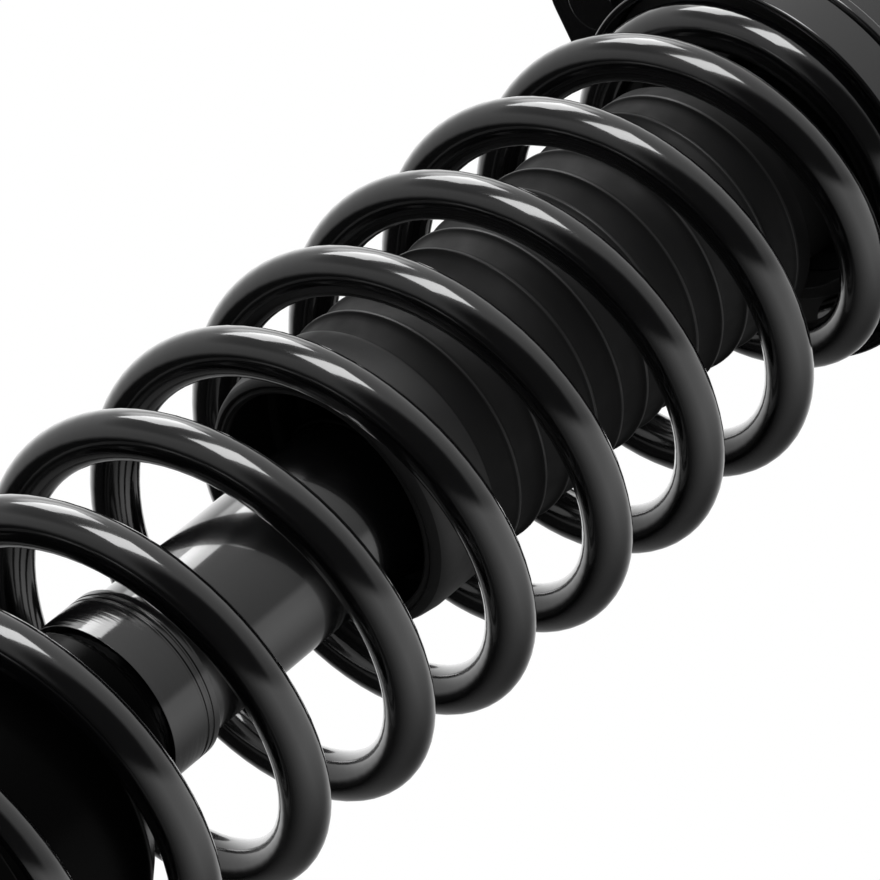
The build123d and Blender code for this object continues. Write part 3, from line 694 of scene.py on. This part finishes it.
# ---- Top mount plate, spool and rubber ------------------------------------------------------------
# A flange with two lobes and a drawn drum, painted black; the steel spool is moulded into its rubber.
# The rubber carries the rod's load, and its lip shows round the spool at both faces.
DRUM_HOLE = 0.028
SPOOL_RADIUS = 0.016
SPOOL_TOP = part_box("mount_core")[1].z
DRUM_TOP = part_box("mount_plate")[1].z
RUBBER_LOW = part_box("mount_rubber")[0].z
RUBBER_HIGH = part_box("mount_rubber")[1].z
LIP_WIDTH = 0.0016
MOUNT_DISH = 0.002
RUBBER_EDGE = 6e-4
SPOOL_DISC_RADIUS = 0.036
SPOOL_DISC_HALF = 0.002
SPOOL_DISC_HEIGHT = (RUBBER_LOW + RUBBER_HIGH) / 2
DRUM_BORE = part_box("mount_rubber")[1].x
DRUM_WALL = 0.003
DRUM_CEILING = DRUM_TOP - DRUM_WALL
FLANGE_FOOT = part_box("mount_plate")[0].z
FLANGE_THICKNESS = 0.004
DRUM_FLOOR = FLANGE_FOOT + FLANGE_THICKNESS


def dished_face(height, dish):
    """Corners from the spool out to the drum's edge, with a shallow dish between two lips."""
    return [(SPOOL_RADIUS, height), (SPOOL_RADIUS + LIP_WIDTH, height),
            (SPOOL_RADIUS + 2 * LIP_WIDTH, height + dish), (DRUM_HOLE - 2 * LIP_WIDTH, height + dish),
            (DRUM_HOLE - LIP_WIDTH, height), (DRUM_HOLE, height)]


wear_material("mount_plate", gloss_paint)
wear_material("mount_core", zinc)
disc_top = SPOOL_DISC_HEIGHT + SPOOL_DISC_HALF
disc_foot = SPOOL_DISC_HEIGHT - SPOOL_DISC_HALF
block = bmesh.new()
turn(block, dished_face(RUBBER_LOW, MOUNT_DISH)
     + [(DRUM_HOLE, DRUM_FLOOR), (DRUM_BORE, DRUM_FLOOR), (DRUM_BORE, DRUM_CEILING),
        (DRUM_HOLE, DRUM_CEILING)]
     + dished_face(RUBBER_HIGH, -MOUNT_DISH)[::-1]
     + [(SPOOL_RADIUS, disc_top), (SPOOL_DISC_RADIUS, disc_top), (SPOOL_DISC_RADIUS, disc_foot),
        (SPOOL_RADIUS, disc_foot)], steps=144)
round_edges(block, RUBBER_EDGE)
settle("mount_rubber_block", block, moulded_rubber, "top_mount", "black_rubber", "mount_rubber")

# ---- Studs ----------------------------------------------------------------------------------------
# Two cold-headed studs pressed up through the lobes by their knurls, with rolled threads.
# Their thin round heads stay under the flange beside the spring seat; the mount's paint covers them.
STUD_RADIUS = 0.005
STUD_KNURL_RADIUS = 0.0056
STUD_PITCH = 0.00125
STUD_ANGLE = math.radians(-18.0)
STUD_CIRCLE = 0.072
STUD_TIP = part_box("mount_studs")[1].z
STUD_HEAD_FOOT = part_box("mount_studs")[0].z
STUD_HEAD_RADIUS = 0.0085
STUD_TIP_CONE = 0.001
STUD_EDGE = 3e-4

studs = bmesh.new()
for half_turn in (0, math.pi):
    stud = bmesh.new()
    turn(stud, [(0, STUD_HEAD_FOOT), (STUD_HEAD_RADIUS, STUD_HEAD_FOOT), (STUD_HEAD_RADIUS, FLANGE_FOOT),
                (STUD_KNURL_RADIUS, FLANGE_FOOT), (STUD_KNURL_RADIUS, DRUM_FLOOR), (0, DRUM_FLOOR)],
         steps=48, closed=False)
    round_edges(stud, STUD_EDGE)
    stud_thread = bmesh.new()
    thread(stud_thread, STUD_RADIUS, STUD_PITCH, DRUM_FLOOR, STUD_TIP, STUD_TIP_CONE)
    joined(stud, stud_thread)
    bmesh.ops.translate(stud, vec=(STUD_CIRCLE, 0, 0), verts=stud.verts[:])
    bmesh.ops.rotate(stud, cent=(0, 0, 0), matrix=Matrix.Rotation(STUD_ANGLE + half_turn, 3, "Z"),
                     verts=stud.verts[:])
    joined(studs, stud)
settle("mount_stud_pair", studs, gloss_paint, "top_mount", "black_paint", "mount_studs")

# ---- Washer and nut -------------------------------------------------------------------------------
# A stamped washer and a hexagon nut, both of zinc-plated steel.
# The nut is tightened on the rod's thread and clamps the rod's shoulder to the spool.
WASHER_RADIUS = 0.017
WASHER_BORE = 0.0063
WASHER_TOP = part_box("rod_washer")[1].z
WASHER_EDGE = 4e-4

washer = bmesh.new()
turn(washer, [(WASHER_BORE, SPOOL_TOP), (WASHER_RADIUS, SPOOL_TOP), (WASHER_RADIUS, WASHER_TOP),
              (WASHER_BORE, WASHER_TOP)], steps=80)
round_edges(washer, WASHER_EDGE)
settle("rod_washer_disc", washer, zinc, "top_mount", "zinc_steel", "rod_washer")
wear_material("rod_nut", zinc)

# ---- Floor ----------------------------------------------------------------------------------------
# A plain pale studio floor, well below the part.
# Far from the part it brightens into the white background, so that no horizon shows.
FLOOR_HEIGHT = -0.95
FLOOR_HALF = 25.0
SWEEP_START = 1.8
SWEEP_END = 6.5

floor_mesh = bmesh.new()
bmesh.ops.create_grid(floor_mesh, x_segments=1, y_segments=1, size=FLOOR_HALF)
bmesh.ops.translate(floor_mesh, vec=(0, 0, FLOOR_HEIGHT), verts=floor_mesh.verts[:])
floor_data = bpy.data.meshes.new("studio_floor")
floor_mesh.to_mesh(floor_data)
floor_mesh.free()
floor = bpy.data.objects.new("studio_floor", floor_data)
bpy.context.scene.collection.objects.link(floor)
floor_paint = bpy.data.materials.new("pale_floor")
floor_paint.use_nodes = True
floor_shader = floor_paint.node_tree.nodes["Principled BSDF"]
floor_shader.inputs["Base Color"].default_value = (0.8, 0.8, 0.8, 1)
floor_shader.inputs["Roughness"].default_value = 0.9
floor_nodes, floor_links = floor_paint.node_tree.nodes, floor_paint.node_tree.links
on_floor = floor_nodes.new("ShaderNodeTexCoord")
distance_out = floor_nodes.new("ShaderNodeVectorMath")
distance_out.operation = "LENGTH"
sweep = floor_nodes.new("ShaderNodeMapRange")
sweep.interpolation_type = "SMOOTHSTEP"
sweep.inputs["From Min"].default_value = SWEEP_START
sweep.inputs["From Max"].default_value = SWEEP_END
seen = floor_nodes.new("ShaderNodeLightPath")
seen_sweep = floor_nodes.new("ShaderNodeMath")
seen_sweep.operation = "MULTIPLY"
white_sweep = floor_nodes.new("ShaderNodeEmission")
floor_mix = floor_nodes.new("ShaderNodeMixShader")
floor_links.new(on_floor.outputs["Object"], distance_out.inputs[0])
floor_links.new(distance_out.outputs["Value"], sweep.inputs["Value"])
floor_links.new(sweep.outputs["Result"], seen_sweep.inputs[0])
floor_links.new(seen.outputs["Is Camera Ray"], seen_sweep.inputs[1])
floor_links.new(seen_sweep.outputs["Value"], floor_mix.inputs["Fac"])
floor_links.new(floor_shader.outputs["BSDF"], floor_mix.inputs[1])
floor_links.new(white_sweep.outputs["Emission"], floor_mix.inputs[2])
floor_links.new(floor_mix.outputs["Shader"], floor_nodes["Material Output"].inputs["Surface"])
floor_data.materials.append(floor_paint)
floor.visible_glossy = False

# ---- Lamps ----------------------------------------------------------------------------------------
# Two soft boxes on the part's -X side: one level with its middle and in front, one higher and farther back.
# Each makes its own bright patch on every turn of the spring.
LAMP_DISTANCE = 2.5


def lamp(name, towards, width, height, power, long_side):
    """A soft box that faces the middle of the part from a direction, its long side along another."""
    middle = (cad_low + cad_high) / 2
    light = bpy.data.lights.new(name, "AREA")
    light.shape = "RECTANGLE"
    light.size = width
    light.size_y = height
    light.energy = power
    box = bpy.data.objects.new(name, light)
    bpy.context.scene.collection.objects.link(box)
    heading = Vector(towards).normalized()
    across = (Vector(long_side) - heading * heading.dot(Vector(long_side))).normalized()
    turned_to = Matrix((across, heading.cross(across), heading)).transposed().to_4x4()
    box.matrix_world = Matrix.Translation(middle + heading * LAMP_DISTANCE) @ turned_to
    box.visible_camera = False


lamp("front_softbox", towards=(-0.712, -0.703, 0.0), width=1.72, height=0.94, power=36,
     long_side=(0.208, -0.269, 0.716))
lamp("back_softbox", towards=(-0.909, -0.085, 0.407), width=1.34, height=1.08, power=24,
     long_side=(0.318, -0.201, 0.57))

# ---- Room -----------------------------------------------------------------------------------------
# The studio round the part, which shows in its gloss: pale walls, a lit table and unlit corners.
# The camera itself sees plain white past the part.
# Directions in which each thing lies, or toward which it brightens.
WALLS_BRIGHTEN = (-0.533, -0.029, 0.405)
TABLE_BRIGHTENS = (0.538, -0.63, 1.12)
AWAY_FROM_TABLE = (-0.927, -0.374, -0.005)
TABLE_FAR_EDGE = (0.656, 0.678, 0.331)
UNLIT_FRONT = (0.227, -0.865, -0.447)
UNLIT_FLOOR = (0.509, 0.411, -0.756)
CEILING_GLOW = (-0.78, 0.1, 0.62)
SHADE_BESIDE_LAMP = (-0.965, -0.235, -0.119)
BACKDROP = (0.0, 0.803, 0.595)
# Brightness of the glow, and of the whole room as the part reflects it.
GLOW_LEVEL = 4.5
ROOM_LEVEL = 0.5

world = bpy.data.worlds.new("studio")
bpy.context.scene.world = world
world.use_nodes = True
nodes, links = world.node_tree.nodes, world.node_tree.links
sky = nodes.new("ShaderNodeTexCoord")


def along(direction):
    """How far a ray points along a direction."""
    dot = nodes.new("ShaderNodeVectorMath")
    dot.operation = "DOT_PRODUCT"
    dot.inputs[1].default_value = direction
    links.new(sky.outputs["Generated"], dot.inputs[0])
    return dot.outputs["Value"]


def ramp(value, start, end, low, high, kind="SMOOTHSTEP"):
    """A value carried from one range to another, without going past it."""
    node = nodes.new("ShaderNodeMapRange")
    node.interpolation_type = kind
    for socket, number in (("From Min", start), ("From Max", end), ("To Min", low), ("To Max", high)):
        node.inputs[socket].default_value = number
    links.new(value, node.inputs["Value"])
    return node.outputs["Result"]


def between(factor, first, second):
    """Mixes two brightnesses; the second may be a number."""
    node = nodes.new("ShaderNodeMix")
    links.new(factor, node.inputs["Factor"])
    for socket, value in (("A", first), ("B", second)):
        if isinstance(value, (int, float)):
            node.inputs[socket].default_value = value
        else:
            links.new(value, node.inputs[socket])
    return node.outputs["Result"]


def times(value, other):
    """One brightness multiplied by another, or by a number."""
    node = nodes.new("ShaderNodeMath")
    node.operation = "MULTIPLY"
    links.new(value, node.inputs[0])
    if isinstance(other, (int, float)):
        node.inputs[1].default_value = other
    else:
        links.new(other, node.inputs[1])
    return node.outputs["Value"]


walls = ramp(along(WALLS_BRIGHTEN), -0.47, 0.7, 0.42, 1.45, "LINEAR")
table = ramp(along(TABLE_BRIGHTENS), -1.0, 0.6, 0.0, 1.7, "LINEAR")
table_edge = ramp(along(TABLE_FAR_EDGE), 0.4, 1.15, 1, 0)
on_table = ramp(along(AWAY_FROM_TABLE), -0.215, -0.377, 0, 1)
unlit_front = ramp(along(UNLIT_FRONT), 0.61, 0.848, 0, 1)
unlit_floor = ramp(along(UNLIT_FLOOR), 0.375, 0.578, 0, 1)
ceiling_glow = ramp(along(CEILING_GLOW), 0.958, 0.99, 0, 1)
beside_lamp = ramp(along(SHADE_BESIDE_LAMP), 0.86, 0.97, 1, 0.5)
backdrop = ramp(along(BACKDROP), 0.5, 0.92, 1, 1.9)
room = times(between(unlit_front, between(unlit_floor, walls, 0.04), 0.08), beside_lamp)
studio = between(on_table, between(ceiling_glow, room, GLOW_LEVEL), times(table, table_edge))
dimmed = times(times(studio, backdrop), ROOM_LEVEL)
ray = nodes.new("ShaderNodeLightPath")
links.new(between(ray.outputs["Is Camera Ray"], dimmed, 1.0),
          nodes["Background"].inputs["Strength"])
nodes["Background"].inputs["Color"].default_value = (1, 1, 1, 1)

# ---- Camera ---------------------------------------------------------------------------------------
# A long lens below the part's lower end, looking up along the damper.
# The damper crosses the frame from corner to corner.
VIEW_FROM = (0.00203, -1.33265, -0.63261)
VIEW_RIGHT = (0.63631, -0.45929, 0.61981)
VIEW_UP = (-0.77143, -0.37884, 0.51124)
VIEW_BACK = (0.0, -0.80345, -0.59537)
LENS = 246.4

camera_data = bpy.data.cameras.new("camera")
camera_data.lens = LENS
camera = bpy.data.objects.new("camera", camera_data)
bpy.context.scene.collection.objects.link(camera)
turned = Matrix((VIEW_RIGHT, VIEW_UP, VIEW_BACK)).transposed().to_4x4()
camera.matrix_world = Matrix.Translation(VIEW_FROM) @ turned
bpy.context.scene.camera = camera
bpy.context.scene.view_settings.view_transform = "Standard"
